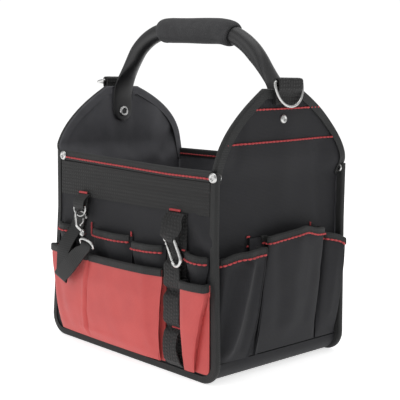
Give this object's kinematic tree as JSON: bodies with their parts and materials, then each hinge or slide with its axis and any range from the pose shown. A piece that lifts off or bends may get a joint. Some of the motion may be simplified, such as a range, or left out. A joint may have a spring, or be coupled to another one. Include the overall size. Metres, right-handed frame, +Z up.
{
  "type": "tool bag",
  "caption": "Open-topped tool bag with arched ends, a tube handle with a foam grip, red and black outside pockets, webbing loops, D-rings and clips for carrying hand tools.",
  "frame": {"origin": "middle of the base's underside, on the surface that the bag stands on", "axes": "+Z up, +X along the front to its right as seen from the front, the front faces -Y"},
  "size_m": [0.2835, 0.1995, 0.3266],
  "materials": {
    "cloth": "coarse plain weave",
    "binding": "fine ribbed tape",
    "webbing": "ribbed webbing",
    "red_cloth": "plain weave",
    "metal": "bright nickel plate",
    "tube": "satin black",
    "foam": "matt foam"
  },
  "bodies": {
    "bag": {"front_panel": "cloth", "back_panel": "cloth", "base_panel": "cloth", "mid_pocket_1": "cloth", "mid_pocket_2": "cloth", "mid_pocket_3": "cloth", "mid_pocket_4": "cloth", "end_panel_right": "cloth", "end_pocket_right_low": "cloth", "end_pocket_right_mid": "cloth", "end_pocket_right_back": "cloth", "end_panel_left": "cloth", "end_pocket_left_low": "cloth", "end_pocket_left_mid": "cloth", "end_pocket_left_back": "cloth", "front_seam_binding": "binding", "back_seam_binding": "binding", "front_top_binding": "binding", "back_top_binding": "binding", "red_pocket_large_binding": "binding", "red_pocket_small_binding": "binding", "mid_pocket_binding_1": "binding", "mid_pocket_binding_2": "binding", "mid_pocket_binding_3": "binding", "mid_pocket_binding_4": "binding", "arch_binding_right": "binding", "end_pocket_right_low_binding": "binding", "end_pocket_right_mid_binding": "binding", "end_pocket_right_back_binding": "binding", "arch_binding_left": "binding", "end_pocket_left_low_binding": "binding", "end_pocket_left_mid_binding": "binding", "end_pocket_left_back_binding": "binding", "front_band": "webbing", "strap_backing": "webbing", "strap_loops": "webbing", "tape_tab": "webbing", "tape_strap": "webbing", "d_ring_loop_right": "webbing", "d_ring_loop_left": "webbing", "red_pocket_large": "red_cloth", "red_pocket_small": "red_cloth", "carabiner": "metal", "tape_d_ring": "metal", "snap_hook": "metal", "snap_hook_eye": "metal", "handle_rivet_right": "metal", "corner_rivet_front_right": "metal", "corner_rivet_back_right": "metal", "handle_rivet_left": "metal", "corner_rivet_front_left": "metal", "corner_rivet_back_left": "metal", "handle_tube": "tube", "handle_grip": "foam"},
    "ring_right": {"d_ring_right": "metal"},
    "ring_left": {"d_ring_left": "metal"},
    "clip_gate": {"carabiner_gate": "metal"},
    "hook_gate": {"snap_hook_gate": "metal"}
  },
  "joints": [
    {"name": "d_ring_right_swing", "type": "hinge", "parent": "bag", "child": "ring_right", "pos_m": [0.1227, 0, 0.264], "axis": [0, -1, 0], "range_deg": [0, 150]},
    {"name": "d_ring_left_swing", "type": "hinge", "parent": "bag", "child": "ring_left", "pos_m": [-0.1267, 0, 0.264], "axis": [0, 1, 0], "range_deg": [-70, 80]},
    {"name": "carabiner_gate_hinge", "type": "hinge", "parent": "bag", "child": "clip_gate", "pos_m": [0.06826, -0.09617, 0.12149], "axis": [-0.05, -0.9962, 0.0714], "range_deg": [0, 22], "stiffness_Nm_per_rad": 0.02, "springref_deg": -8.59},
    {"name": "snap_hook_gate_hinge", "type": "hinge", "parent": "bag", "child": "hook_gate", "pos_m": [-0.05402, -0.10135, 0.12297], "axis": [0.5856, -0.2635, 0.7666], "range_deg": [0, 26], "stiffness_Nm_per_rad": 0.02, "springref_deg": -8.59}
  ]
}
